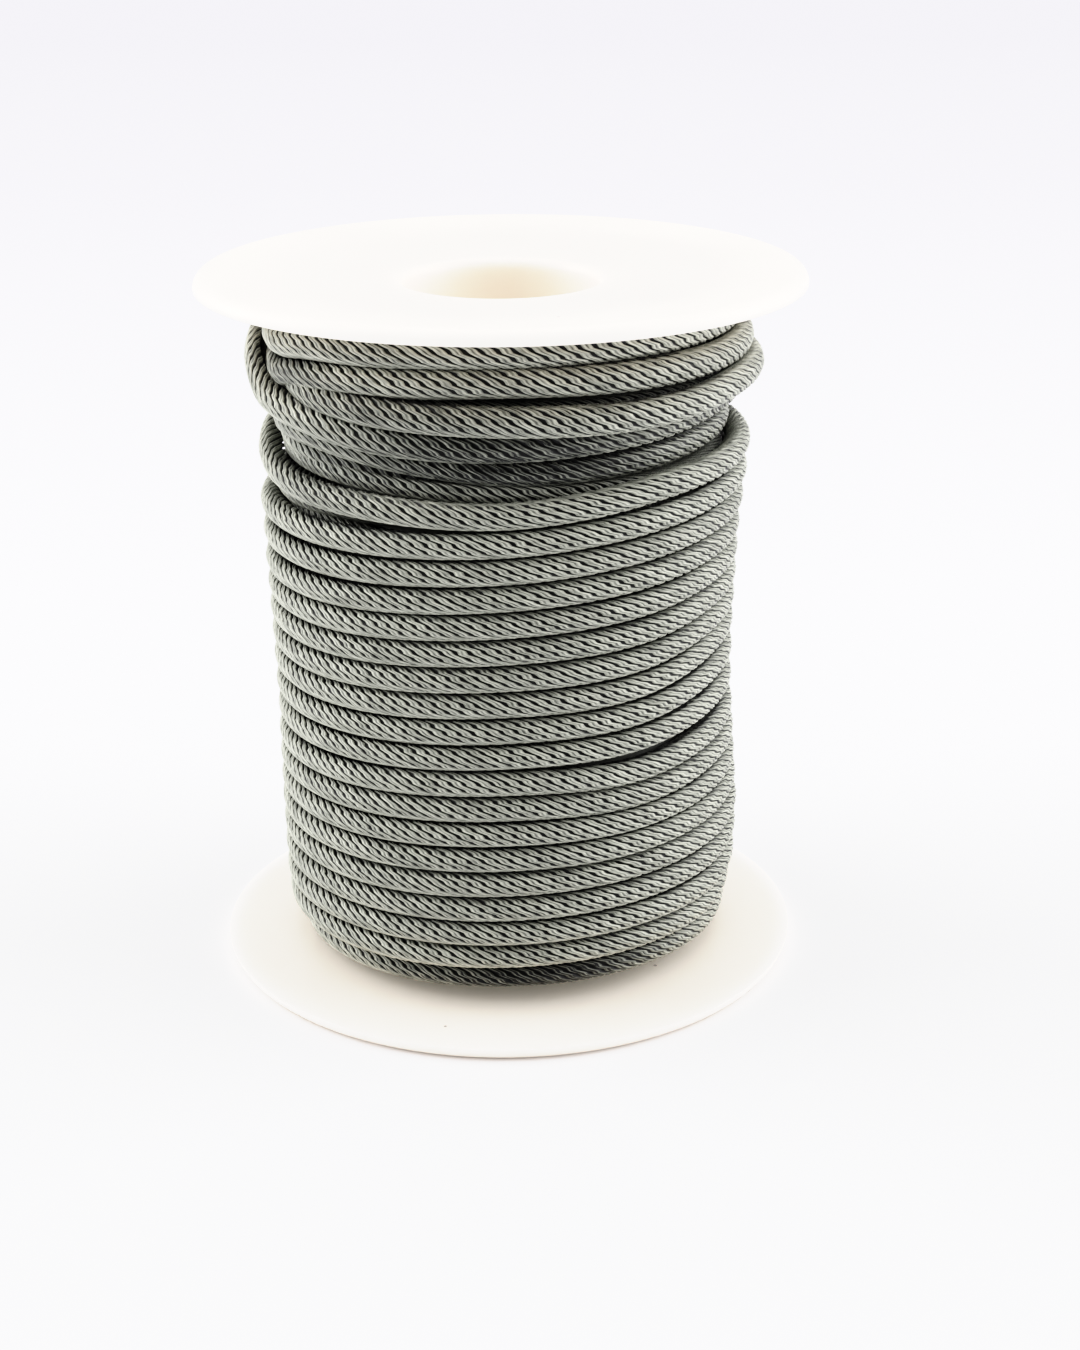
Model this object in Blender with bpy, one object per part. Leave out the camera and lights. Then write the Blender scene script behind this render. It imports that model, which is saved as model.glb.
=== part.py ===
# Braided cord wound on a white plastic spool.
# Metres, +Z up. The spool stands on its lower flange, with its axis on the Z axis.
# Angles go round from the front, which is -Y, towards +X.
import math

import bmesh
import bpy
from mathutils import Vector

MM = 0.001
CLEARANCE = 0.3 * MM

# Spool
SPOOL_HEIGHT = 93.0 * MM
FLANGE_RADIUS = 39.0 * MM
FLANGE_THICKNESS = 1.75 * MM
EDGE_ROUNDING = 1.65 * MM
FOOT_WIDTH = 2.2 * MM
DISH_DEPTH = 1.55 * MM
BORE_RADIUS = 12.5 * MM
LIP_ROUNDING = 1.2 * MM
SPIGOT_WALL = 1.3 * MM
SPIGOT_DEPTH = 16.0 * MM
TUBE_WALL = 1.2 * MM
SPOOL_SEGMENTS = 48

# Cord and the outer layer of its winding
CORD_RADIUS = 1.75 * MM
LOOSE_RADIUS = 2.0 * MM
TURN_PITCH = 3.46 * MM
FIRST_TURN_HEIGHT = 6.33 * MM
OUTER_TURNS = 18
GROOVE_DEPTH = 1.15 * MM
UNDER_LAYER_RADIUS = 28.6 * MM
UNDER_LAYER_TURNS = 8
UNDER_LAYER_TOP = 88.0 * MM
VALLEY_RADIUS = 27.4 * MM
WINDING_BOTTOM = 3.6 * MM
WINDING_TOP = 89.3 * MM
WINDING_COLUMNS = 40
ROWS_PER_TURN = 4
FOOT_ROWS = 3
TOP_ROWS = 34
SIDE_ANGLE = 70.0

# How the outer turns lie, in millimetres, with even steps between the turns named here
# turn, drop at the left, rise at the right front, rise at the right, radius left, front, right
TURN_SHAPE = (
    (0, 1.3, 0.1, -0.2, 28.5, 28.9, 29.9),
    (1, 1.3, 0.1, -0.2, 30.3, 30.3, 30.6),
    (2, 1.4, 0.2, 0.0, 30.6, 30.8, 31.3),
    (4, 1.7, 0.4, 0.5, 30.7, 30.9, 31.5),
    (8, 2.3, -0.5, 0.2, 30.8, 30.8, 30.6),
    (9, 2.1, 0.15, 1.0, 30.8, 30.7, 30.4),
    (11, 2.0, 0.35, 2.0, 31.0, 30.7, 30.4),
    (15, 2.25, 0.95, 1.6, 31.5, 31.0, 31.0),
    (17, 1.75, 1.2, 1.95, 31.8, 31.3, 31.8),
)

# The last turns under the upper flange, which run back down across each other
# angle in degrees, height and outer radius in millimetres
TOP_ROUTE = (
    (-220, 87.6, 25.4), (-180, 87.2, 26.6), (-130, 86.3, 28.6), (-70, 86.0, 31.0), (-50, 87.2, 31.1),
    (-30, 87.8, 31.2), (-10, 88.3, 31.2), (20, 88.5, 31.2), (70, 88.3, 31.0), (180, 88.3, 30.4),
    (250, 84.0, 29.6), (290, 81.9, 30.7), (300, 82.8, 30.9), (320, 83.8, 31.0), (340, 84.4, 31.1),
    (360, 84.9, 31.2), (395, 84.8, 32.2), (430, 84.7, 32.4), (540, 84.8, 31.2), (590, 83.0, 29.4),
    (650, 81.6, 29.6), (670, 80.9, 31.0), (690, 80.7, 31.8), (720, 80.5, 32.6), (755, 80.3, 33.3),
    (790, 81.2, 33.7), (900, 81.4, 33.3), (940, 84.2, 33.2), (965, 86.1, 32.7), (980, 85.2, 32.7),
    (996, 82.2, 33.0), (1010, 79.1, 32.6), (1030, 78.0, 31.8), (1045, 77.3, 31.2), (1060, 77.0, 31.0),
    (1080, 77.0, 31.0), (1115, 77.6, 30.8), (1150, 78.3, 30.6), (1260, 77.3, 32.0), (1325, 72.9, 32.1),
    (1370, 69.2, 31.6), (1410, 69.0, 31.5), (1440, 68.8, 31.3), (1460, 69.4, 31.5), (1480, 70.4, 31.8),
    (1510, 71.0, 32.3), (1620, 71.9, 31.0), (1690, 73.8, 29.6), (1730, 75.0, 29.8), (1750, 75.4, 29.8),
    (1780, 74.4, 29.6), (1800, 73.6, 29.4), (1830, 73.6, 29.5), (1870, 74.3, 29.4), (1980, 75.1, 28.6),
    (2090, 72.6, 28.8), (2130, 72.2, 27.6), (2160, 71.6, 27.0), (2200, 71.2, 26.8), (2250, 71.2, 25.6),
)
# The cord is looser, and so thicker, down to this angle of the last turns
LOOSE_TO = 1250.0
TIGHT_FROM = 1400.0

# Where the outer layer dives under the turn above it
DIVE_ROUTE = ((-70, 66.2, 30.2), (-45, 66.7, 29.2), (-20, 67.3, 28.0))


def clear_scene():
    for thing in list(bpy.data.objects):
        bpy.data.objects.remove(thing, do_unlink=True)


def make_material(name, color, roughness):
    material = bpy.data.materials.new(name)
    material.use_nodes = True
    shader = material.node_tree.nodes["Principled BSDF"]
    shader.inputs["Base Color"].default_value = (*color, 1.0)
    shader.inputs["Roughness"].default_value = roughness
    shader.inputs["Metallic"].default_value = 0.0
    return material


def add_ring_solid(name, rings, material, sharp_angle):
    """A closed solid whose rings follow each other round its section."""
    mesh = bpy.data.meshes.new(name)
    shell = bmesh.new()
    grid = [[shell.verts.new(point) for point in ring] for ring in rings]
    for ring, following in zip(grid, grid[1:] + grid[:1]):
        for column in range(len(ring)):
            beside = (column + 1) % len(ring)
            shell.faces.new((ring[column], ring[beside], following[beside], following[column]))
    bmesh.ops.recalc_face_normals(shell, faces=shell.faces)
    if shell.calc_volume(signed=True) < 0.0:
        bmesh.ops.reverse_faces(shell, faces=shell.faces)
    for face in shell.faces:
        face.smooth = True
    shell.to_mesh(mesh)
    shell.free()
    mesh.set_sharp_from_angle(angle=math.radians(sharp_angle))
    mesh.materials.append(material)
    solid = bpy.data.objects.new(name, mesh)
    bpy.context.collection.objects.link(solid)
    return solid


def point_at(angle, radius, height):
    """A point at an angle in radians from the front."""
    return Vector((radius * math.sin(angle), -radius * math.cos(angle), height))


def add_lathed(name, section, material):
    """Turn a closed section of (radius, height) points about the spool's axis."""
    angles = [math.tau * step / SPOOL_SEGMENTS for step in range(SPOOL_SEGMENTS)]
    rings = [[point_at(angle, radius, height) for angle in angles] for radius, height in section]
    return add_ring_solid(name, rings, material, 40.0)


def arc(center, radius, start, end, steps):
    """Points of (radius, height) on an arc, angles in degrees from the radial direction."""
    turns = [math.radians(start + (end - start) * step / steps) for step in range(steps + 1)]
    return [(center[0] + radius * math.cos(turn), center[1] + radius * math.sin(turn)) for turn in turns]


# The flange section is drawn with its outer face up and the rim's top at height 0
def flange_section():
    cone_end = FLANGE_RADIUS - EDGE_ROUNDING - FOOT_WIDTH
    cone_start = BORE_RADIUS + LIP_ROUNDING
    slope = DISH_DEPTH / (cone_end - cone_start)
    spigot_radius = BORE_RADIUS + SPIGOT_WALL
    root_height = -DISH_DEPTH - FLANGE_THICKNESS + slope * (spigot_radius - cone_start)
    spigot_end = -DISH_DEPTH - SPIGOT_DEPTH
    lip = arc((cone_start, -DISH_DEPTH - LIP_ROUNDING), LIP_ROUNDING, 180.0, 90.0, 2)
    edge_center = (FLANGE_RADIUS - EDGE_ROUNDING, -EDGE_ROUNDING)
    edge = arc(edge_center, EDGE_ROUNDING, 90.0, 0.0, 3)
    under = [(FLANGE_RADIUS, -FLANGE_THICKNESS), (cone_end, -FLANGE_THICKNESS)]
    spigot = [(spigot_radius, root_height), (spigot_radius, spigot_end), (BORE_RADIUS, spigot_end)]
    return lip + [(cone_end, 0.0)] + edge + under + spigot


def add_flanges(material):
    section = flange_section()
    upper = [(radius, SPOOL_HEIGHT + height) for radius, height in section]
    lower = [(radius, -height) for radius, height in section]
    add_lathed("flange_top", upper, material)
    add_lathed("flange_bottom", lower, material)


def add_core_tube(material):
    inner = BORE_RADIUS + SPIGOT_WALL + CLEARANCE
    outer = inner + TUBE_WALL
    low = DISH_DEPTH + FLANGE_THICKNESS + CLEARANCE
    high = SPOOL_HEIGHT - low
    add_lathed("core_tube", [(inner, low), (outer, low), (outer, high), (inner, high)], material)


def shape_at(turn):
    """The row of TURN_SHAPE for any turn, in metres."""
    rows = TURN_SHAPE
    for lower, upper in zip(rows, rows[1:]):
        if turn <= upper[0]:
            break
    share = min(max((turn - lower[0]) / (upper[0] - lower[0]), 0.0), 1.0)
    return [(a + (b - a) * share) * MM for a, b in zip(lower[1:], upper[1:])]


def outer_layer_route():
    """Points of (angle, height, outer radius) up the outer layer, four or five to a turn."""
    route = []
    for turn in range(OUTER_TURNS):
        drop, rise_near, rise, left, front, right = shape_at(turn)
        middle = FIRST_TURN_HEIGHT + TURN_PITCH * turn
        start = 360.0 * turn
        next_drop, _, _, next_left, _, _ = shape_at(min(turn + 1, OUTER_TURNS - 1))
        behind = (middle + rise + middle + TURN_PITCH - next_drop) / 2.0
        route.append((start - SIDE_ANGLE, middle - drop, left))
        route.append((start, middle, front))
        route.append((start + SIDE_ANGLE / 2.0, middle + rise_near, (front + right) / 2.0))
        route.append((start + SIDE_ANGLE, middle + rise, right))
        route.append((start + 180.0, behind, (right + next_left) / 2.0))
    top = 360.0 * OUTER_TURNS
    route += [(top + angle, height * MM, radius * MM) for angle, height, radius in DIVE_ROUTE]
    return route


def sample_route(route, angle):
    """Height and outer radius at an angle, on a smooth curve through the route's points."""
    index = 0
    while index < len(route) - 2 and route[index + 1][0] < angle:
        index += 1
    before, start, end, after = [route[min(max(index + k, 0), len(route) - 1)] for k in (-1, 0, 1, 2)]
    span = end[0] - start[0]
    share = (angle - start[0]) / span
    values = []
    for axis in (1, 2):
        leave = (end[axis] - before[axis]) / (end[0] - before[0]) * span
        arrive = (after[axis] - start[axis]) / (after[0] - start[0]) * span
        square = share * share
        cube = square * share
        values.append(
            (2.0 * cube - 3.0 * square + 1.0) * start[axis]
            + (cube - 2.0 * square + share) * leave
            + (3.0 * square - 2.0 * cube) * end[axis]
            + (cube - square) * arrive
        )
    return values


def loosened_radius(angle):
    """The cord's own radius along the last turns."""
    tightness = min(max((angle - LOOSE_TO) / (TIGHT_FROM - LOOSE_TO), 0.0), 1.0)
    return LOOSE_RADIUS + (CORD_RADIUS - LOOSE_RADIUS) * tightness


def even_radius(angle):
    return CORD_RADIUS


def turns_at(layers, angle):
    """Height, outer radius and cord radius of each turn that passes an angle, in degrees."""
    passing = []
    for route, cord_radius in layers:
        first = math.ceil((route[0][0] - angle) / 360.0)
        last = math.floor((route[-1][0] - angle) / 360.0)
        for place in (angle + 360.0 * lap for lap in range(first, last + 1)):
            passing.append((*sample_route(route, place), cord_radius(place)))
    return passing


def under_layer_route():
    """Points of (angle, height, outer radius) down the layer beneath, which shows in the gaps."""
    steps = range(4 * UNDER_LAYER_TURNS + 1)
    return [(90.0 * step, UNDER_LAYER_TOP - TURN_PITCH * step / 4.0, UNDER_LAYER_RADIUS) for step in steps]


def winding_radius(turns, height):
    """Radius of the wound surface where the turns given pass a height."""
    surface = VALLEY_RADIUS
    for middle, outer, cord_radius in turns:
        offset = abs(height - middle)
        if offset < cord_radius:
            bulge = math.sqrt(cord_radius ** 2 - offset ** 2)
            depth = min(cord_radius - bulge, GROOVE_DEPTH)
            surface = max(surface, outer - depth)
    return surface


def closed_height(route, middle, angle):
    """Height of the ring that follows a turn round the front and closes behind it."""
    ahead = sample_route(route, middle + angle)[0]
    if angle <= 90.0:
        return ahead
    share = (angle - 90.0) / 180.0
    behind = sample_route(route, middle + angle - 360.0)[0]
    return ahead + (behind - ahead) * share


def row_heights(outer_layer, angle):
    """Heights of the rows at an angle: four to each outer turn, then even steps to the top."""
    crests = [closed_height(outer_layer, 360.0 * turn, angle) for turn in range(OUTER_TURNS)]
    spans = [(WINDING_BOTTOM, crests[0], FOOT_ROWS)]
    spans += [(lower, upper, ROWS_PER_TURN) for lower, upper in zip(crests, crests[1:])]
    spans += [(crests[-1], WINDING_TOP, TOP_ROWS)]
    heights = [WINDING_BOTTOM]
    for lower, upper, rows in spans:
        heights += [lower + (upper - lower) * (row + 1) / rows for row in range(rows)]
    return heights


def add_winding(material):
    outer_layer = outer_layer_route()
    top_turns = [(angle, height * MM, radius * MM) for angle, height, radius in TOP_ROUTE]
    layers = [(outer_layer, even_radius), (top_turns, loosened_radius), (under_layer_route(), even_radius)]
    step_angle = 360.0 / WINDING_COLUMNS
    angles = [step_angle * column - 90.0 for column in range(WINDING_COLUMNS)]
    columns = []
    for angle in angles:
        turns = turns_at(layers, angle)
        heights = row_heights(outer_layer, angle)
        turn = math.radians(angle)
        columns.append([point_at(turn, winding_radius(turns, height), height) for height in heights])
    rings = [list(ring) for ring in zip(*columns)]
    hole = BORE_RADIUS + SPIGOT_WALL + TUBE_WALL + 2.0 * CLEARANCE
    for height in (WINDING_TOP, WINDING_BOTTOM):
        rings.append([point_at(math.radians(angle), hole, height) for angle in angles])
    return add_ring_solid("winding", rings, material, 80.0)


def main():
    clear_scene()
    plastic = make_material("spool_plastic", (0.86, 0.84, 0.80), 0.45)
    cord = make_material("cord_yarn", (0.30, 0.31, 0.26), 0.85)
    add_flanges(plastic)
    add_core_tube(plastic)
    add_winding(cord)


main()
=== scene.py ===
import math

import bpy
import numpy as np
from mathutils import Matrix, Vector


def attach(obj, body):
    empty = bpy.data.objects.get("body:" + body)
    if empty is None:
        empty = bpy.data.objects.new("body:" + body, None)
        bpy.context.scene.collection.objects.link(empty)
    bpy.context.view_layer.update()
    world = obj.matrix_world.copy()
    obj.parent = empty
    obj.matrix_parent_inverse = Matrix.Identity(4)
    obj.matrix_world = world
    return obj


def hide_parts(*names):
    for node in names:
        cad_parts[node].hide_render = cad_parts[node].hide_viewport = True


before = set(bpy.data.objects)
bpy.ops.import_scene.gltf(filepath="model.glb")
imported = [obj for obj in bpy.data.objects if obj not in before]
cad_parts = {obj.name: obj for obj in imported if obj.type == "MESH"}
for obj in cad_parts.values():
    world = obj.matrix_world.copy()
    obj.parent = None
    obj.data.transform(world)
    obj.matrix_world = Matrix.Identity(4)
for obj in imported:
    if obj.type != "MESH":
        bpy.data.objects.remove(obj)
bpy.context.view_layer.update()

MM = 0.001

# Spool, with the CAD model's sizes
SPOOL_HEIGHT = 93.0 * MM
FLANGE_RADIUS = 39.0 * MM
FLANGE_THICKNESS = 1.75 * MM
EDGE_ROUNDING = 1.65 * MM
FOOT_WIDTH = 2.2 * MM
DISH_DEPTH = 1.55 * MM
BORE_RADIUS = 12.5 * MM
LIP_ROUNDING = 1.2 * MM
SPIGOT_WALL = 1.3 * MM
SPIGOT_DEPTH = 16.0 * MM
TUBE_WALL = 1.2 * MM
CLEARANCE = 0.3 * MM
LATHE_SEGMENTS = 192
LIP_STEPS = 8
EDGE_STEPS = 10
SHARP_EDGE = 40.0

# Cord and the layers of its winding
CORD_RADIUS = 1.75 * MM
LOOSE_RADIUS = 2.0 * MM
TURN_PITCH = 3.46 * MM
FIRST_TURN_HEIGHT = 6.33 * MM
OUTER_TURNS = 18
SIDE_ANGLE = 70.0
UNDER_LAYER_RADIUS = 28.6 * MM
UNDER_LAYER_TURNS = 7
UNDER_LAYER_TOP = 88.0 * MM
FILL_RADIUS = 26.3 * MM
WINDING_BOTTOM = 3.6 * MM
WINDING_TOP = 89.3 * MM
RIB_DEPTH = 1.2 * MM
SEED = 7

# Braid: ridges that wind round the cord, with a dark slit between each two
RIDGES = 10
RIDGE_PITCH = 1.69 * MM
# Stitches in one round of a ridge, in degrees each, and rows of points to a stitch, on the face and the back
WALES = 11
WALE = 360.0 / WALES
ROWS_PER_WALE = 4
FACE_ROWS = 23
UNDER_FACE_ROWS = 11
BACK_ROWS = 2
# Stretch of path, in rounds of a ridge, that the first and last pieces of a cord leave free
START_MARGIN = 0.3
END_MARGIN = 0.75

# Unevenness: steps along the ridges, places of slits, tones of ridges, twist and swell of the cord
JOG = 0.19 * MM
JOG_RANGE = (0.4, 1.5)
SLIT_JITTER = 0.05
RIDGE_TONE = 0.05
TWIST = math.radians(10.0)
TWIST_SPAN = 60.0 * MM
SWELL = 0.012
SWELL_SPAN = 14.0 * MM

# How far the slits close between stitches: above, below with its uneven part, on the spool's right, at most
CLOSING_ABOVE = 0.1
CLOSING_BELOW = 0.75
CLOSING_RANGE = 0.2
CLOSING_RIGHT = 0.75
CLOSING_MOST = 0.94
# Closed places are longer below and on the right, and the lower side's slits stay more open on the left
LONGER_BRIDGES = 0.6
OPEN_LEFT = 0.65
# Where a slit closes, its painted black shade lifts by this much
BRIDGE_SHADE = 2.9
# Slits stay open and ridges stand out at the edges of the cord, and it dips between stitches, where the dips
# get a painted shade
RIM_SLIT = 0.55
RIM_RELIEF = 1.2
STITCH_DIP = 0.08 * MM
STITCH_SHADE = 0.10
# Ranges over which these come in, in degrees: from the cord's outermost line, and round the spool
UNDER_SIDE = (12.0, 68.0)
RIM = (45.0, 85.0)
SPOOL_RIGHT = (15.0, 55.0)
SPOOL_LEFT = (8.0, 50.0)

# Painted shade on the cord's top, where a turn lies above it or none does, and on its foot
TOP_SIDE = (42.0, 86.0)
TOP_SHADE = 0.55
BARE_TOP_SHARE = 0.4
FOOT_SIDE = (62.0, 90.0)
FOOT_SHADE = 0.3
# A turn lies above another by this many pitches, and stands out at least this far against it
ABOVE_PITCHES = (0.5, 1.4)
ABOVE_STAND = -1.2 * MM
COVER_SPAN = 21
# Painted shade in places deep between turns, by how far others stand out, and how near those have to be
RECESS_SHADE = 0.24
RECESS_DEPTHS = (0.8 * MM, 3.2 * MM)
RECESS_REACH = 10.0 * MM
SLOTS = 720

# How the outer turns lie, in millimetres, with even steps between the turns named here
# turn, drop at the left, rise at the right front, rise at the right, radius left, front, right
TURN_SHAPE = (
    (0, 1.3, 0.1, -0.2, 28.5, 28.9, 29.9),
    (1, 1.3, 0.1, -0.2, 30.3, 30.3, 30.6),
    (2, 1.4, 0.2, 0.0, 30.6, 30.8, 31.3),
    (4, 1.7, 0.4, 0.5, 30.7, 30.9, 31.5),
    (8, 2.3, -0.5, 0.2, 30.8, 30.8, 30.6),
    (9, 2.1, 0.15, 1.0, 30.8, 30.7, 30.4),
    (11, 2.0, 0.35, 2.0, 31.0, 30.7, 30.4),
    (15, 2.25, 0.95, 1.6, 31.5, 31.0, 31.0),
    (17, 1.4, 1.2, 1.95, 31.8, 31.3, 31.8),
)

# Where the outer layer comes out beside the lower flange, and where it dives under the turn above
# angle in degrees, height and outer radius in millimetres
START_ROUTE = ((-260, 4.5, 25.0), (-190, 4.4, 26.6), (-125, 4.4, 28.2))
DIVE_ROUTE = ((-70, 66.2, 29.4), (-45, 66.7, 28.3), (-20, 67.3, 27.3), (20, 67.6, 26.4), (60, 67.6, 25.6))

# The last turns under the upper flange, which run back down across each other
TOP_ROUTE = (
    (-220, 87.6, 25.4), (-180, 87.2, 26.6), (-130, 86.3, 28.6), (-70, 86.0, 31.0), (-50, 87.2, 31.1),
    (-30, 87.8, 31.2), (-10, 88.3, 31.2), (20, 88.5, 31.2), (70, 88.3, 31.0), (180, 88.3, 30.4),
    (250, 84.0, 29.6), (290, 81.9, 30.7), (300, 82.8, 30.9), (320, 83.8, 31.0), (340, 84.4, 31.1),
    (360, 84.9, 31.2), (395, 84.8, 32.2), (430, 84.7, 32.4), (540, 84.8, 31.2), (590, 83.0, 29.4),
    (650, 81.6, 29.6), (670, 80.9, 31.0), (690, 80.7, 31.8), (720, 80.5, 32.6), (755, 80.3, 33.3),
    (790, 81.2, 33.7), (900, 81.4, 33.3), (940, 84.2, 33.2), (965, 86.1, 32.7), (980, 85.2, 32.7),
    (996, 82.2, 33.0), (1010, 79.1, 32.6), (1030, 78.0, 31.8), (1045, 77.3, 31.2), (1060, 77.0, 31.0),
    (1080, 77.0, 31.0), (1115, 77.6, 30.8), (1150, 78.3, 30.6), (1260, 77.3, 32.0), (1325, 72.9, 32.1),
    (1370, 69.2, 31.6), (1410, 68.7, 31.5), (1440, 68.6, 31.3), (1460, 69.4, 31.5), (1480, 70.4, 31.8),
    (1510, 71.0, 32.3), (1620, 71.9, 31.0), (1690, 73.8, 29.6), (1730, 75.0, 29.8), (1750, 75.4, 29.8),
    (1780, 74.4, 29.6), (1800, 73.6, 29.4), (1830, 73.6, 29.5), (1870, 74.3, 29.4), (1980, 75.1, 28.6),
    (2090, 72.6, 28.8), (2130, 72.2, 27.6), (2160, 71.6, 27.0), (2200, 71.2, 26.8), (2250, 71.2, 25.6),
)
# The cord is looser, and so thicker, up to the first of these angles, and tight from the second
LOOSE_TO = 1250.0
TIGHT_FROM = 1400.0
# Painted shade added to the first and last turns where light doesn't reach them, or painted light where it is
# taken off: angle it starts, is deepest and ends, amount
FIRST_TURN_SHADES = ((-52, 12, 66, 0.44),)
LAST_TURN_SHADES = (
    (5, 48, 115, -0.14),
    (275, 300, 325, 0.24),
    (630, 685, 760, 0.16),
    (1015, 1084, 1128, 0.36),
    (1375, 1390, 1415, 0.12),
    (1725, 1809, 1865, 0.42),
    (2080, 2158, 2196, 0.34),
    (2188, 2216, 2400, -0.20),
)

# Camera, fitted to the photograph
CAMERA_PLACE = (0.00456, -0.29983, 0.15077)
CAMERA_PITCH = 20.74
CAMERA_ROLL = 0.43
CAMERA_LENS = 63.14

# Studio light, as brightness of the sky in each direction
SKY_BASE = 0.10
SKY_SIDE = 0.6
SKY_BACK = 0.2
SKY_TOP = 1.5
SKY_TOP_POWER = 3.0
SKY_LEAST = 0.12
SKY_COLOR = (0.985, 0.985, 1.0)
SUN_LEFT = 2.15
SUN_RIGHT = 2.1
SUN_WIDTH = 55.0
SUN_LEFT_FORWARD = -0.14
SUN_RIGHT_FORWARD = -0.06
SUN_FALL = 0.45
# Paper floor: half its width, two tints of its grain, and painted shade as metres behind the axis with colour
# against white
FLOOR_HALF = 4.0
FLOOR_TINTS = ((0.87, 0.87, 0.88), (0.88, 0.88, 0.89))
FLOOR_PAINTED_SHADES = (
    (-0.08, (0.92, 0.92, 0.93)),
    (-0.02, (0.99, 0.99, 1.0)),
    (0.15, (0.98, 0.97, 1.0)),
    (0.65, (0.79, 0.75, 0.87)),
    (1.20, (0.70, 0.67, 0.80)),
)
# How the photograph's tones run against the light: scene brightness, shown brightness
PHOTO_CURVE = (
    (0.0, 0.0), (0.03, 0.014), (0.09, 0.075), (0.2, 0.22),
    (0.35, 0.42), (0.55, 0.66), (0.75, 0.85), (1.0, 0.93),
)

# White plastic: two tints of its faint clouds, their roughness, how far light goes in, and a painted glow in
# place of light coming through
PLASTIC_TINTS = ((0.94, 0.81, 0.69), (0.97, 0.845, 0.725))
PLASTIC_ROUGHNESS = (0.32, 0.52)
PLASTIC_CLOUDS = 70.0
PLASTIC_SCATTER = 0.6
PLASTIC_DEPTH = 6.0 * MM
PLASTIC_PAINTED_GLOW = 0.085
PLASTIC_PAINTED_GLOW_COLOR = (1.0, 0.96, 0.86)
# Dust specks: cells to a metre, speck size in cells, share of cells that have one
DUST_CELLS = 140.0
DUST_SIZE = 0.04
DUST_SHARE = 0.4
DUST_COLOR = (0.42, 0.36, 0.30)

# Yarn: colours from the black slits to the crests by the scaled painted shade, and the filaments' texture
YARN_SHADES = (
    (0.24, (0.003, 0.003, 0.003)),
    (0.48, (0.19, 0.197, 0.168)),
    (0.8, (0.545, 0.555, 0.475)),
    (1.0, (0.74, 0.75, 0.645)),
)
SHADE_SCALE = 0.8
INNER_SHADE = 0.5
FILAMENT_STRETCH = (1.1, 6.0, 1.0)
FILAMENT_SHADE = 1.2
FILAMENT_HEIGHT = 0.05 * MM
RIDGE_SHIFT = 3.7


def new_material(name):
    material = bpy.data.materials.new(name)
    material.use_nodes = True
    return material, material.node_tree.nodes, material.node_tree.links


def add_math(nodes, links, operation, *values):
    """A math node fed from numbers or from the outputs of other nodes."""
    node = nodes.new("ShaderNodeMath")
    node.operation = operation
    for value, socket in zip(values, node.inputs):
        if isinstance(value, bpy.types.NodeSocket):
            links.new(value, socket)
        else:
            socket.default_value = value
    return node


def add_mix(nodes, links, factor, tints):
    """A blend between two colours, or outputs of other nodes that carry colours."""
    mix = nodes.new("ShaderNodeMix")
    mix.data_type = "RGBA"
    if isinstance(factor, bpy.types.NodeSocket):
        links.new(factor, mix.inputs["Factor"])
    else:
        mix.inputs["Factor"].default_value = factor
    for tint, side in zip(tints, ("A", "B")):
        if isinstance(tint, bpy.types.NodeSocket):
            links.new(tint, mix.inputs[side])
        else:
            mix.inputs[side].default_value = (*tint, 1.0)
    return mix


def add_ramp(nodes, links, value, stops):
    """A colour ramp from rows of (position, colour)."""
    ramp = nodes.new("ShaderNodeValToRGB")
    elements = ramp.color_ramp.elements
    for element, (position, color) in zip((elements[0], elements[1]), (stops[0], stops[-1])):
        element.position = position
        element.color = (*color, 1.0)
    for position, color in stops[1:-1]:
        elements.new(position).color = (*color, 1.0)
    links.new(value, ramp.inputs["Fac"])
    return ramp


def finish_mesh(name, points, faces, material, sharp_angle=None):
    """A smooth mesh object from arrays of points and quads or triangles."""
    mesh = bpy.data.meshes.new(name)
    corners = np.concatenate([block.ravel() for block in faces])
    sizes = np.concatenate([np.full(len(block), block.shape[1]) for block in faces])
    starts = np.concatenate([[0], np.cumsum(sizes)[:-1]])
    mesh.vertices.add(len(points))
    mesh.vertices.foreach_set("co", points.astype(np.float32).ravel())
    mesh.loops.add(len(corners))
    mesh.loops.foreach_set("vertex_index", corners.astype(np.int32))
    mesh.polygons.add(len(sizes))
    mesh.polygons.foreach_set("loop_start", starts.astype(np.int32))
    mesh.polygons.foreach_set("use_smooth", np.ones(len(sizes), bool))
    mesh.update(calc_edges=True)
    mesh.validate()
    if sharp_angle is not None:
        mesh.set_sharp_from_angle(angle=math.radians(sharp_angle))
    mesh.materials.append(material)
    piece = bpy.data.objects.new(name, mesh)
    bpy.context.scene.collection.objects.link(piece)
    return piece


# Camera, lights and floor
def add_camera():
    pitch = math.radians(CAMERA_PITCH)
    roll = math.radians(CAMERA_ROLL)
    right = Vector((1.0, 0.0, 0.0))
    down = Vector((0.0, -math.sin(pitch), -math.cos(pitch)))
    ahead = Vector((0.0, math.cos(pitch), -math.sin(pitch)))
    across = math.cos(roll) * right + math.sin(roll) * down
    up = math.sin(roll) * right - math.cos(roll) * down
    turn = Matrix((across, up, -ahead)).transposed()
    data = bpy.data.cameras.new("camera")
    data.lens = CAMERA_LENS
    data.clip_start = 0.01
    data.clip_end = 30.0
    camera = bpy.data.objects.new("camera", data)
    camera.matrix_world = Matrix.Translation(CAMERA_PLACE) @ turn.to_4x4()
    bpy.context.scene.collection.objects.link(camera)
    bpy.context.scene.camera = camera


def add_soft_sun(name, direction, strength):
    """A distant softbox, which lights the whole floor evenly."""
    data = bpy.data.lights.new(name, "SUN")
    data.angle = math.radians(SUN_WIDTH)
    data.energy = strength
    lamp = bpy.data.objects.new(name, data)
    lamp.rotation_mode = "QUATERNION"
    lamp.rotation_quaternion = Vector(direction).to_track_quat("-Z", "Y")
    bpy.context.scene.collection.objects.link(lamp)


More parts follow.
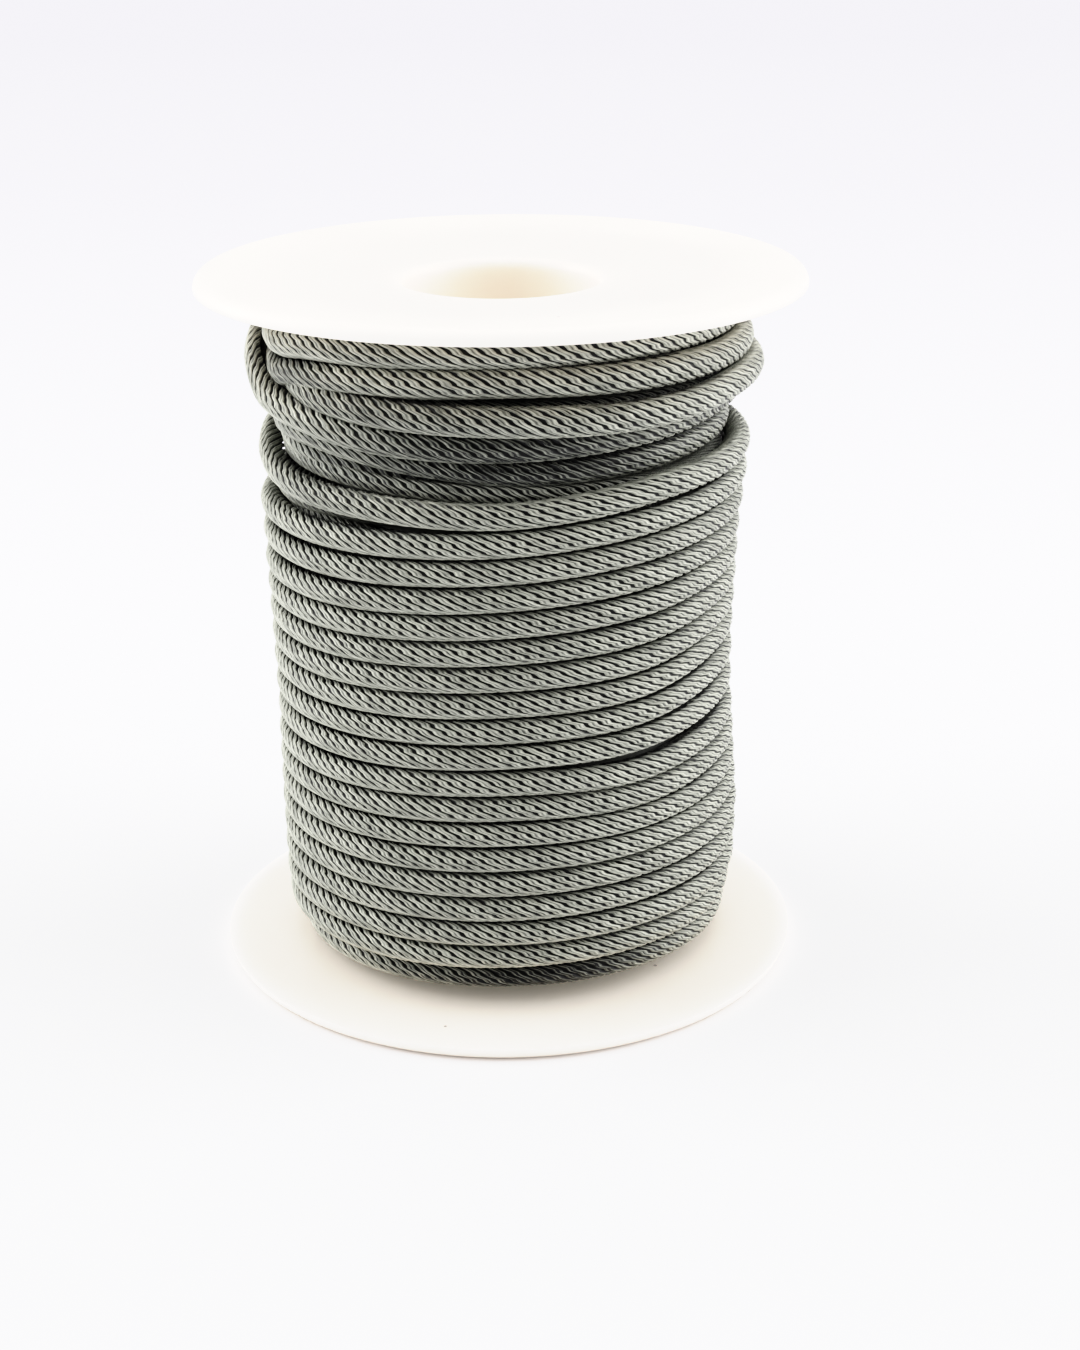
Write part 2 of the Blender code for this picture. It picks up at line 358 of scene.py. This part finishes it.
def make_sky():
    """A white studio all round: bright at the sides and behind, dim in front, where the camera is."""
    sky = bpy.data.worlds.new("studio")
    sky.use_nodes = True
    nodes, links = sky.node_tree.nodes, sky.node_tree.links
    place = nodes.new("ShaderNodeTexCoord")
    parts = nodes.new("ShaderNodeSeparateXYZ")
    links.new(place.outputs["Generated"], parts.inputs["Vector"])
    side = add_math(nodes, links, "ABSOLUTE", parts.outputs["X"])
    overhead = add_math(nodes, links, "POWER", parts.outputs["Z"], SKY_TOP_POWER)
    overhead.use_clamp = True
    lit_parts = (
        (side.outputs["Value"], SKY_SIDE),
        (parts.outputs["Y"], SKY_BACK),
        (overhead.outputs["Value"], SKY_TOP),
    )
    level = SKY_BASE
    for source, factor in lit_parts:
        level = add_math(nodes, links, "MULTIPLY_ADD", source, factor, level).outputs["Value"]
    least = add_math(nodes, links, "MAXIMUM", level, SKY_LEAST)
    back = nodes["Background"]
    back.inputs["Color"].default_value = (*SKY_COLOR, 1.0)
    links.new(least.outputs["Value"], back.inputs["Strength"])
    return sky


def use_photo_curve(view):
    view.use_curve_mapping = True
    mapping = view.curve_mapping
    # The fourth curve works on all colours together
    curve = mapping.curves[3]
    curve.points[0].location = PHOTO_CURVE[0]
    curve.points[-1].location = PHOTO_CURVE[-1]
    for place in PHOTO_CURVE[1:-1]:
        curve.points.new(*place)
    mapping.update()


def add_studio():
    scene = bpy.context.scene
    scene.view_settings.view_transform = "Standard"
    scene.world = make_sky()
    add_soft_sun("sun_left", (1.0, SUN_LEFT_FORWARD, -SUN_FALL), SUN_LEFT)
    add_soft_sun("sun_right", (-1.0, SUN_RIGHT_FORWARD, -SUN_FALL), SUN_RIGHT)
    use_photo_curve(scene.view_settings)


def add_floor():
    material, nodes, links = new_material("floor_white")
    shader = nodes["Principled BSDF"]
    shader.inputs["Roughness"].default_value = 0.7
    shader.inputs["Specular IOR Level"].default_value = 0.2
    grain = nodes.new("ShaderNodeTexNoise")
    grain.inputs["Scale"].default_value = 3.0
    tint = add_mix(nodes, links, grain.outputs["Fac"], FLOOR_TINTS)

    # Painted shade: the paper is a little darker in front and turns a pale violet grey further back
    place = nodes.new("ShaderNodeTexCoord")
    parts = nodes.new("ShaderNodeSeparateXYZ")
    links.new(place.outputs["Object"], parts.inputs["Vector"])
    reach = nodes.new("ShaderNodeMapRange")
    start, end = FLOOR_PAINTED_SHADES[0][0], FLOOR_PAINTED_SHADES[-1][0]
    reach.inputs["From Min"].default_value = start
    reach.inputs["From Max"].default_value = end
    links.new(parts.outputs["Y"], reach.inputs["Value"])
    stops = [((distance - start) / (end - start), color) for distance, color in FLOOR_PAINTED_SHADES]
    painted_shades = add_ramp(nodes, links, reach.outputs["Result"], stops)
    paper = add_mix(nodes, links, 1.0, (tint.outputs["Result"], painted_shades.outputs["Color"]))
    paper.blend_type = "MULTIPLY"
    links.new(paper.outputs["Result"], shader.inputs["Base Color"])
    half = FLOOR_HALF
    points = np.array([(-half, -half, 0), (half, -half, 0), (half, half, 0), (-half, half, 0)], float)
    floor = finish_mesh("floor", points, [np.array([[0, 1, 2, 3]])], material)


# Materials
def make_plastic():
    material, nodes, links = new_material("spool_plastic")
    shader = nodes["Principled BSDF"]
    shader.inputs["Subsurface Weight"].default_value = PLASTIC_SCATTER
    shader.inputs["Subsurface Radius"].default_value = (1.0, 1.0, 1.0)
    shader.inputs["Subsurface Scale"].default_value = PLASTIC_DEPTH
    # Painted glow: a faint emission that lifts the plastic's shadows, in place of light coming through the
    # thin plastic
    shader.inputs["Emission Color"].default_value = (*PLASTIC_PAINTED_GLOW_COLOR, 1.0)
    shader.inputs["Emission Strength"].default_value = PLASTIC_PAINTED_GLOW

    # Faint clouds and scuffs
    place = nodes.new("ShaderNodeTexCoord")
    clouds = nodes.new("ShaderNodeTexNoise")
    clouds.inputs["Scale"].default_value = PLASTIC_CLOUDS
    clouds.inputs["Detail"].default_value = 4.0
    links.new(place.outputs["Object"], clouds.inputs["Vector"])
    tint = add_mix(nodes, links, clouds.outputs["Fac"], PLASTIC_TINTS)
    smooth, rough = PLASTIC_ROUGHNESS
    gloss = add_math(nodes, links, "MULTIPLY_ADD", clouds.outputs["Fac"], rough - smooth, smooth)
    links.new(gloss.outputs["Value"], shader.inputs["Roughness"])

    # A few tiny specks of dust
    cells = nodes.new("ShaderNodeTexVoronoi")
    cells.inputs["Scale"].default_value = DUST_CELLS
    links.new(place.outputs["Object"], cells.inputs["Vector"])
    chance = nodes.new("ShaderNodeSeparateColor")
    links.new(cells.outputs["Color"], chance.inputs["Color"])
    near = add_math(nodes, links, "LESS_THAN", cells.outputs["Distance"], DUST_SIZE)
    chosen = add_math(nodes, links, "GREATER_THAN", chance.outputs["Red"], 1.0 - DUST_SHARE)
    speck = add_math(nodes, links, "MULTIPLY", near.outputs["Value"], chosen.outputs["Value"])
    dusty = add_mix(nodes, links, speck.outputs["Value"], (tint.outputs["Result"], DUST_COLOR))
    links.new(dusty.outputs["Result"], shader.inputs["Base Color"])
    return material


def make_yarn():
    material, nodes, links = new_material("cord_yarn")
    shader = nodes["Principled BSDF"]
    shader.inputs["Roughness"].default_value = 0.5
    shader.inputs["Sheen Weight"].default_value = 0.06
    shader.inputs["Sheen Roughness"].default_value = 0.4
    # Painted shade, with each ridge's random tone, kept on the cord's points
    tone_and_painted_shade = nodes.new("ShaderNodeAttribute")
    tone_and_painted_shade.attribute_name = "tone_and_painted_shade"
    strand = nodes.new("ShaderNodeAttribute")
    strand.attribute_name = "strand"

    # Fine filaments run along each yarn
    filament = nodes.new("ShaderNodeMapping")
    filament.inputs["Scale"].default_value = FILAMENT_STRETCH
    links.new(strand.outputs["Vector"], filament.inputs["Vector"])
    fibres = nodes.new("ShaderNodeTexNoise")
    fibres.inputs["Scale"].default_value = 1.0
    fibres.inputs["Detail"].default_value = 3.0
    fibres.inputs["Roughness"].default_value = 0.65
    links.new(filament.outputs["Vector"], fibres.inputs["Vector"])

    # Painted shade: slits are black, grooves between yarns darker than their crests
    filament_shade = add_math(
        nodes, links, "MULTIPLY_ADD", fibres.outputs["Fac"], FILAMENT_SHADE, -0.5 * FILAMENT_SHADE
    )
    level = add_math(nodes, links, "ADD", tone_and_painted_shade.outputs["Fac"], filament_shade.outputs["Value"])
    scaled = add_math(nodes, links, "MULTIPLY", level.outputs["Value"], SHADE_SCALE)
    ramp = add_ramp(nodes, links, scaled.outputs["Value"], YARN_SHADES)
    links.new(ramp.outputs["Color"], shader.inputs["Base Color"])

    bump = nodes.new("ShaderNodeBump")
    bump.inputs["Strength"].default_value = 0.7
    bump.inputs["Distance"].default_value = FILAMENT_HEIGHT
    links.new(fibres.outputs["Fac"], bump.inputs["Height"])
    links.new(bump.outputs["Normal"], shader.inputs["Normal"])
    return material


# Spool
def arc(center, radius, start, end, steps):
    """Points of (radius, height) on an arc, angles in degrees from the radial direction."""
    turns = [math.radians(start + (end - start) * step / steps) for step in range(steps + 1)]
    return [(center[0] + radius * math.cos(turn), center[1] + radius * math.sin(turn)) for turn in turns]


def flange_section():
    """The flange's outer face is up, and the rim's top is at height 0."""
    cone_end = FLANGE_RADIUS - EDGE_ROUNDING - FOOT_WIDTH
    cone_start = BORE_RADIUS + LIP_ROUNDING
    slope = DISH_DEPTH / (cone_end - cone_start)
    spigot_radius = BORE_RADIUS + SPIGOT_WALL
    root_height = -DISH_DEPTH - FLANGE_THICKNESS + slope * (spigot_radius - cone_start)
    spigot_end = -DISH_DEPTH - SPIGOT_DEPTH
    lip = arc((cone_start, -DISH_DEPTH - LIP_ROUNDING), LIP_ROUNDING, 180.0, 90.0, LIP_STEPS)
    edge_center = (FLANGE_RADIUS - EDGE_ROUNDING, -EDGE_ROUNDING)
    edge = arc(edge_center, EDGE_ROUNDING, 90.0, 0.0, EDGE_STEPS)
    under = [(FLANGE_RADIUS, -FLANGE_THICKNESS), (cone_end, -FLANGE_THICKNESS)]
    spigot = [(spigot_radius, root_height), (spigot_radius, spigot_end), (BORE_RADIUS, spigot_end)]
    return lip + [(cone_end, 0.0)] + edge + under + spigot


def add_lathed(name, section, material, node):
    """Turn a closed section of (radius, height) points about the spool's axis."""
    profile = np.array(section)
    shifted = np.roll(profile, -1, axis=0)
    if np.sum(profile[:, 0] * shifted[:, 1] - shifted[:, 0] * profile[:, 1]) < 0.0:
        profile = profile[::-1]
    count = len(profile)
    angle = (np.arange(LATHE_SEGMENTS) * math.tau / LATHE_SEGMENTS)[:, None]
    radius, height = profile[:, 0][None, :], profile[:, 1][None, :]
    points = np.stack([radius * np.sin(angle), -radius * np.cos(angle), height + 0.0 * angle], axis=-1)
    column, row = np.meshgrid(np.arange(LATHE_SEGMENTS), np.arange(count), indexing="ij")
    beside, above = (column + 1) % LATHE_SEGMENTS, (row + 1) % count
    quads = np.stack(
        [column * count + row, beside * count + row, beside * count + above, column * count + above], axis=-1
    ).reshape(-1, 4)
    piece = finish_mesh(name, points.reshape(-1, 3), [quads], material, SHARP_EDGE)
    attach(piece, "root")
    if node is not None:
        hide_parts(node)
    return piece


def add_spool(material):
    section = flange_section()
    add_lathed("spool_flange_top", [(r, SPOOL_HEIGHT + z) for r, z in section], material, "flange_top")
    add_lathed("spool_flange_bottom", [(r, -z) for r, z in section], material, "flange_bottom")
    inner = BORE_RADIUS + SPIGOT_WALL + CLEARANCE
    outer = inner + TUBE_WALL
    low = DISH_DEPTH + FLANGE_THICKNESS + CLEARANCE
    high = SPOOL_HEIGHT - low
    tube = [(inner, low), (outer, low), (outer, high), (inner, high)]
    add_lathed("spool_tube", tube, material, "core_tube")


# Routes of the cord
def shape_at(turn):
    """The row of TURN_SHAPE for any turn, in metres."""
    for lower, upper in zip(TURN_SHAPE, TURN_SHAPE[1:]):
        if turn <= upper[0]:
            break
    share = min(max((turn - lower[0]) / (upper[0] - lower[0]), 0.0), 1.0)
    return [(a + (b - a) * share) * MM for a, b in zip(lower[1:], upper[1:])]


def outer_layer_route():
    """Points of (angle, height, outer radius) up the outer layer, four or five to a turn."""
    route = [(angle, height * MM, radius * MM) for angle, height, radius in START_ROUTE]
    for turn in range(OUTER_TURNS):
        drop, rise_near, rise, left, front, right = shape_at(turn)
        middle = FIRST_TURN_HEIGHT + TURN_PITCH * turn
        start = 360.0 * turn
        next_drop, _, _, next_left, _, _ = shape_at(min(turn + 1, OUTER_TURNS - 1))
        behind = (middle + rise + middle + TURN_PITCH - next_drop) / 2.0
        route.append((start - SIDE_ANGLE, middle - drop, left))
        route.append((start, middle, front))
        route.append((start + SIDE_ANGLE / 2.0, middle + rise_near, (front + right) / 2.0))
        route.append((start + SIDE_ANGLE, middle + rise, right))
        route.append((start + 180.0, behind, (right + next_left) / 2.0))
    top = 360.0 * OUTER_TURNS
    route += [(top + angle, height * MM, radius * MM) for angle, height, radius in DIVE_ROUTE]
    return route


def under_layer_route():
    """Points of (angle, height, outer radius) down the layer beneath, which shows in the gaps."""
    steps = range(4 * UNDER_LAYER_TURNS + 1)
    return [(90.0 * step, UNDER_LAYER_TOP - TURN_PITCH * step / 4.0, UNDER_LAYER_RADIUS) for step in steps]


def follow(route, step=0.5):
    """Heights and outer radii at every half degree, on a smooth curve through the route's points."""
    knots = np.array(route)
    slopes = np.empty((len(knots), 2))
    slopes[1:-1] = (knots[2:, 1:] - knots[:-2, 1:]) / (knots[2:, :1] - knots[:-2, :1])
    slopes[0] = (knots[1, 1:] - knots[0, 1:]) / (knots[1, 0] - knots[0, 0])
    slopes[-1] = (knots[-1, 1:] - knots[-2, 1:]) / (knots[-1, 0] - knots[-2, 0])
    angle = np.arange(knots[0, 0], knots[-1, 0], step)
    index = np.clip(np.searchsorted(knots[:, 0], angle, side="right") - 1, 0, len(knots) - 2)
    span = (knots[index + 1, 0] - knots[index, 0])[:, None]
    share = (angle - knots[index, 0])[:, None] / span
    square, cube = share ** 2, share ** 3
    values = (
        (2.0 * cube - 3.0 * square + 1.0) * knots[index, 1:]
        + (cube - 2.0 * square + share) * slopes[index] * span
        + (3.0 * square - 2.0 * cube) * knots[index + 1, 1:]
        + (cube - square) * slopes[index + 1] * span
    )
    return np.radians(angle), values[:, 0], values[:, 1]


def unit(vectors):
    return vectors / np.linalg.norm(vectors, axis=-1, keepdims=True)


def smooth_step(low, high, value):
    share = np.clip((value - low) / (high - low), 0.0, 1.0)
    return share * share * (3.0 - 2.0 * share)


class CordPath:
    """The cord's centre line by length, with its outward and sideways directions."""

    def __init__(self, route, loose_radius=CORD_RADIUS, painted_shades=()):
        angle, height, outer = follow(route)
        self.cover = np.zeros(len(angle))
        self.painted_shade = np.zeros(len(angle))
        # Painted shade along the path, from the rows given
        for start, deepest, end, painted_shade in painted_shades:
            rise = smooth_step(start, deepest, np.degrees(angle))
            fall = smooth_step(deepest, end, np.degrees(angle))
            self.painted_shade += painted_shade * (rise - fall)
        tightness = smooth_step(LOOSE_TO, TIGHT_FROM, np.degrees(angle))
        self.cord_radius = loose_radius + (CORD_RADIUS - loose_radius) * tightness
        # The ridges of a looser cord lie wider, by half as much as it is thicker
        self.pitch = RIDGE_PITCH * (0.5 + 0.5 * loose_radius / CORD_RADIUS)
        radius = outer - self.cord_radius
        self.points = np.stack([radius * np.sin(angle), -radius * np.cos(angle), height], axis=-1)
        steps = np.linalg.norm(np.diff(self.points, axis=0), axis=-1)
        self.lengths = np.concatenate([[0.0], np.cumsum(steps)])
        ahead = unit(np.gradient(self.points, axis=0))
        radial = np.stack([np.sin(angle), -np.cos(angle), 0.0 * angle], axis=-1)
        self.outward = unit(radial - np.sum(radial * ahead, axis=-1, keepdims=True) * ahead)
        self.sideways = np.cross(self.outward, ahead)
        self.total = self.lengths[-1]
        self.angle, self.height, self.outer = angle, height, outer

    def at(self, values, length):
        """Values kept along the path, read at any length."""
        return np.interp(length, self.lengths, values)

    def read(self, table, length):
        """Points or directions kept along the path, read at any length."""
        return np.stack([self.at(table[:, axis], length) for axis in range(3)], axis=-1)


def slow_noise(random, spacing, span):
    """A smooth random function of length, between -1 and 1."""
    # A few knots to spare at both ends
    knots = random.uniform(-1.0, 1.0, int(span / spacing) + 8)

    def value(length):
        place = np.clip(length / spacing + 3.0, 0.0, len(knots) - 2.001)
        index = place.astype(int)
        share = smooth_step(0.0, 1.0, place - index)
        return knots[index] * (1.0 - share) + knots[index + 1] * share

    return value


# A ridge from one slit to the next, two yarns wide
# place along the ridge pitch, depth in millimetres, painted shade
RIDGE_PROFILE = (
    (0.00, 0.68, -2.10),
    (0.18, 0.13, 0.80),
    (0.34, 0.00, 1.03),
    (0.50, 0.09, 0.60),
    (0.66, 0.00, 1.03),
    (0.83, 0.12, 0.80),
)


def rows_round_cord(face_rows):
    """Degrees round the cord of each row of points, which lie close together on its outer face."""
    face_half = (face_rows - 1) / 2.0 * WALE / ROWS_PER_WALE
    face = face_half - np.arange(face_rows) * WALE / ROWS_PER_WALE
    back_step = (360.0 - 2.0 * face_half) / (BACK_ROWS + 1)
    back = -face_half - back_step * np.arange(1, BACK_ROWS + 1)
    return np.concatenate([face, back])


def slit_openness(path, length, turned, middle, bridging):
    """How open each slit is: long slits above, and short dashes below and on the spool's right."""
    lap = (path.at(np.degrees(path.angle), length) + 180.0) % 360.0 - 180.0
    right = smooth_step(*SPOOL_RIGHT, lap)
    left = smooth_step(*SPOOL_LEFT, -lap)
    under = smooth_step(*UNDER_SIDE, -turned)[None, :] * (1.0 - OPEN_LEFT * left)
    closing = CLOSING_ABOVE * bridging * (1.0 - under) + (CLOSING_BELOW + CLOSING_RANGE * bridging) * under
    closing = np.minimum(closing + CLOSING_RIGHT * right, CLOSING_MOST)
    bridge = (1.0 - middle) * (1.0 + LONGER_BRIDGES * np.maximum(right, under))
    return 1.0 - closing * np.minimum(bridge, 1.0)


def tube_faces(columns, rows, wrap):
    """Quads of a tube that closes on itself some columns further on, and the loops at its two ends."""
    number = np.arange(columns * rows).reshape(columns, rows)
    left, right = number[:-1], number[1:]
    inside = np.stack([left[:, :-1], left[:, 1:], right[:, 1:], right[:, :-1]], axis=-1).reshape(-1, 4)
    seam = np.stack(
        [number[:-1 - wrap, -1], number[wrap:-1, 0], number[wrap + 1:, 0], number[1:-wrap, -1]], axis=-1
    ).reshape(-1, 4)
    low_loop = np.concatenate([number[0, :], number[wrap:0:-1, 0]])
    high_loop = np.concatenate([number[-1, ::-1], number[-1 - wrap:-1, -1]])
    return [inside, seam], [low_loop, high_loop]


def keep_on_points(piece, name, kind, field, values):
    layer = piece.data.attributes.new(name, kind, "POINT")
    layer.data.foreach_set(field, values.astype(np.float32).ravel())


def add_braid(name, path, start, end, material, random, face_rows=FACE_ROWS):
    """One stretch of the cord as a closed tube whose columns follow the ridges round it."""
    profile = np.array(RIDGE_PROFILE)
    columns_per_ridge = len(profile)
    lead = RIDGES * path.pitch
    first = int(math.floor(start / path.pitch))
    ridge_count = int(math.floor(end / path.pitch)) - first
    turned = rows_round_cord(face_rows)
    rows = len(turned)
    columns = ridge_count * columns_per_ridge + 1

    ridge = np.arange(columns) // columns_per_ridge
    place, profile_depth, profile_shade = profile[np.arange(columns) % columns_per_ridge].T
    is_slit = place == 0.0
    jitter = random.uniform(-SLIT_JITTER, SLIT_JITTER, ridge_count + 2)[ridge]
    base = (first + ridge + place + jitter * is_slit) * path.pitch

    # Each ridge steps along the cord at its stitches
    phase = -turned / WALE * math.tau
    stitch = np.floor(-turned / WALE + 0.5).astype(int) + WALES
    strength = random.uniform(*JOG_RANGE, (ridge_count + 2, 2 * WALES + 2))
    bridging = random.uniform(0.0, 1.0, (ridge_count + 2, 2 * WALES + 2))
    tone = random.uniform(-RIDGE_TONE, RIDGE_TONE, ridge_count + 2)[ridge]
    each = (ridge[:, None], stitch[None, :])
    jog = JOG * strength[each] * np.sin(phase)[None, :]
    length = base[:, None] - turned[None, :] / 360.0 * lead + jog
    length = np.clip(length, 0.0, path.total)

    # Depth below the cord's full radius
    middle = 0.5 + 0.5 * np.cos(phase)[None, :]
    rim = smooth_step(*RIM, np.abs(turned))[None, :]
    openness = slit_openness(path, length, turned, middle, bridging[each])
    is_slit = is_slit[:, None]
    full = profile_depth[:, None] * MM
    depth = np.where(is_slit, full * np.maximum(openness, RIM_SLIT * rim), full * (1.0 + RIM_RELIEF * rim))
    depth = depth + STITCH_DIP * (1.0 - middle)
    radius = path.at(path.cord_radius, length) * (1.0 + SWELL * path.swell(length)) - depth
    around = np.radians(turned)[None, :] + TWIST * path.twist(length)
    points = (
        path.read(path.points, length)
        + (radius * np.cos(around))[..., None] * path.read(path.outward, length)
        + (radius * np.sin(around))[..., None] * path.read(path.sideways, length)
    ).reshape(-1, 3)

    # Painted shade, which the yarn's material reads: black slits, and darker stitch dips, recesses, first and
    # last turns, tops and feet, with each ridge's own random tone
    shade = (profile_shade + tone)[:, None] + np.where(is_slit, BRIDGE_SHADE * (1.0 - openness), 0.0)
    shade = shade - STITCH_SHADE * (1.0 - middle) - path.at(path.painted_shade, length)
    cover = BARE_TOP_SHARE + (1.0 - BARE_TOP_SHARE) * path.at(path.cover, length)
    shade = shade - TOP_SHADE * smooth_step(*TOP_SIDE, np.degrees(around)) * cover
    shade = shade - FOOT_SHADE * smooth_step(*FOOT_SIDE, -np.degrees(around))

    # Place in the filament texture: along the yarn, across it, and a shift of its own for each ridge
    along = turned[None, :] * math.tau / 360.0 * CORD_RADIUS / MM + 0.0 * base[:, None]
    across = (first + ridge + place)[:, None] + 0.0 * along
    strand = np.stack([along, across, RIDGE_SHIFT * ridge[:, None] + 0.0 * along], axis=-1).reshape(-1, 3)

    # The two ends close on the cord's own centre line
    quads, loops = tube_faces(columns, rows, RIDGES * columns_per_ridge)
    middles = np.array([np.mean(length.reshape(-1)[loop]) for loop in loops])
    caps = [
        np.stack([np.roll(loop, -1), loop, np.full(len(loop), len(points) + index)], axis=-1)
        for index, loop in enumerate(loops)
    ]
    points = np.vstack([points, path.read(path.points, middles)])
    piece = finish_mesh(name, points, [*quads, *caps], material)
    # Painted shade for the yarn's material, with the two end centres at zero
    keep_on_points(piece, "tone_and_painted_shade", "FLOAT", "value", np.append(shade.reshape(-1), np.zeros(2)))
    keep_on_points(piece, "strand", "FLOAT_VECTOR", "vector", np.vstack([strand, np.zeros((2, 3))]))
    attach(piece, "root")
    return piece


def slot_of(angle):
    """The half degree round the spool that each angle is nearest to."""
    return np.round(np.degrees(angle % math.tau) * SLOTS / 360.0).astype(int) % SLOTS


def shade_recesses(paths):
    """Paint shade into places deep between turns that stand further out, and note where a turn lies above."""
    heights = np.concatenate([path.height for path in paths])
    outers = np.concatenate([path.outer for path in paths])
    slots = slot_of(np.concatenate([path.angle for path in paths]))
    by_slot = [np.nonzero(slots == slot)[0] for slot in range(SLOTS)]
    least, most = ABOVE_PITCHES
    for path in paths:
        depth = np.zeros(len(path.angle))
        covered = np.zeros(len(path.angle))
        for index, slot in enumerate(slot_of(path.angle)):
            others = by_slot[slot]
            rise = heights[others] - path.height[index]
            stand = outers[others] - path.outer[index]
            weight = np.clip(1.0 - np.abs(rise) / RECESS_REACH, 0.0, 1.0)
            depth[index] = max(0.0, float(np.max(stand * weight)))
            above = (rise > least * TURN_PITCH) & (rise < most * TURN_PITCH) & (stand > ABOVE_STAND)
            covered[index] = float(np.any(above))
        path.cover = np.convolve(covered, np.full(COVER_SPAN, 1.0 / COVER_SPAN), "same")
        path.painted_shade = RECESS_SHADE * smooth_step(*RECESS_DEPTHS, depth) + path.painted_shade


def add_cord(name, path, count, material, random, face_rows=FACE_ROWS):
    """A whole stretch of cord in a few pieces of the same length, whose ridges run on from one to the next."""
    path.twist = slow_noise(random, TWIST_SPAN, path.total)
    path.swell = slow_noise(random, SWELL_SPAN, path.total)
    start = START_MARGIN * RIDGES * RIDGE_PITCH
    end = path.total - END_MARGIN * RIDGES * RIDGE_PITCH
    ends = np.linspace(start, end, count + 1)
    return [
        add_braid(f"{name}_{index + 1}", path, ends[index], ends[index + 1], material, random, face_rows)
        for index in range(count)
    ]


def add_inner_layers(material):
    """The layers beneath, down to the tube, as one ribbed body that backs the gaps."""
    hole = BORE_RADIUS + SPIGOT_WALL + TUBE_WALL + 2.0 * CLEARANCE
    steps = int(round((WINDING_TOP - WINDING_BOTTOM) / (0.25 * TURN_PITCH)))
    heights = np.linspace(WINDING_BOTTOM, WINDING_TOP, steps + 1)
    bulge = np.abs(np.sin(math.pi * (heights - WINDING_BOTTOM) / TURN_PITCH))
    section = [(hole, WINDING_TOP), (hole, WINDING_BOTTOM)]
    section += [(FILL_RADIUS - RIB_DEPTH * (1.0 - rise), height) for rise, height in zip(bulge, heights)]
    piece = add_lathed("cord_inner_layers", section, material, None)
    # The inner layers get one even painted shade, darker than the ridges' crests
    keep_on_points(piece, "tone_and_painted_shade", "FLOAT", "value", np.full(len(piece.data.vertices), INNER_SHADE))


def add_winding(material):
    random = np.random.default_rng(SEED)
    top_route = [(angle, height * MM, radius * MM) for angle, height, radius in TOP_ROUTE]
    outer_layer = CordPath(outer_layer_route(), CORD_RADIUS, FIRST_TURN_SHADES)
    last_turns = CordPath(top_route, LOOSE_RADIUS, LAST_TURN_SHADES)
    under_layer = CordPath(under_layer_route())
    shade_recesses((outer_layer, last_turns, under_layer))
    pieces = add_cord("cord_outer_layer", outer_layer, 4, material, random)
    pieces += add_cord("cord_last_turns", last_turns, 2, material, random)
    pieces += add_cord("cord_under_layer", under_layer, 1, material, random, UNDER_FACE_ROWS)
    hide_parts("winding")
    add_inner_layers(material)


def main():
    add_camera()
    add_studio()
    add_floor()
    add_spool(make_plastic())
    add_winding(make_yarn())


main()
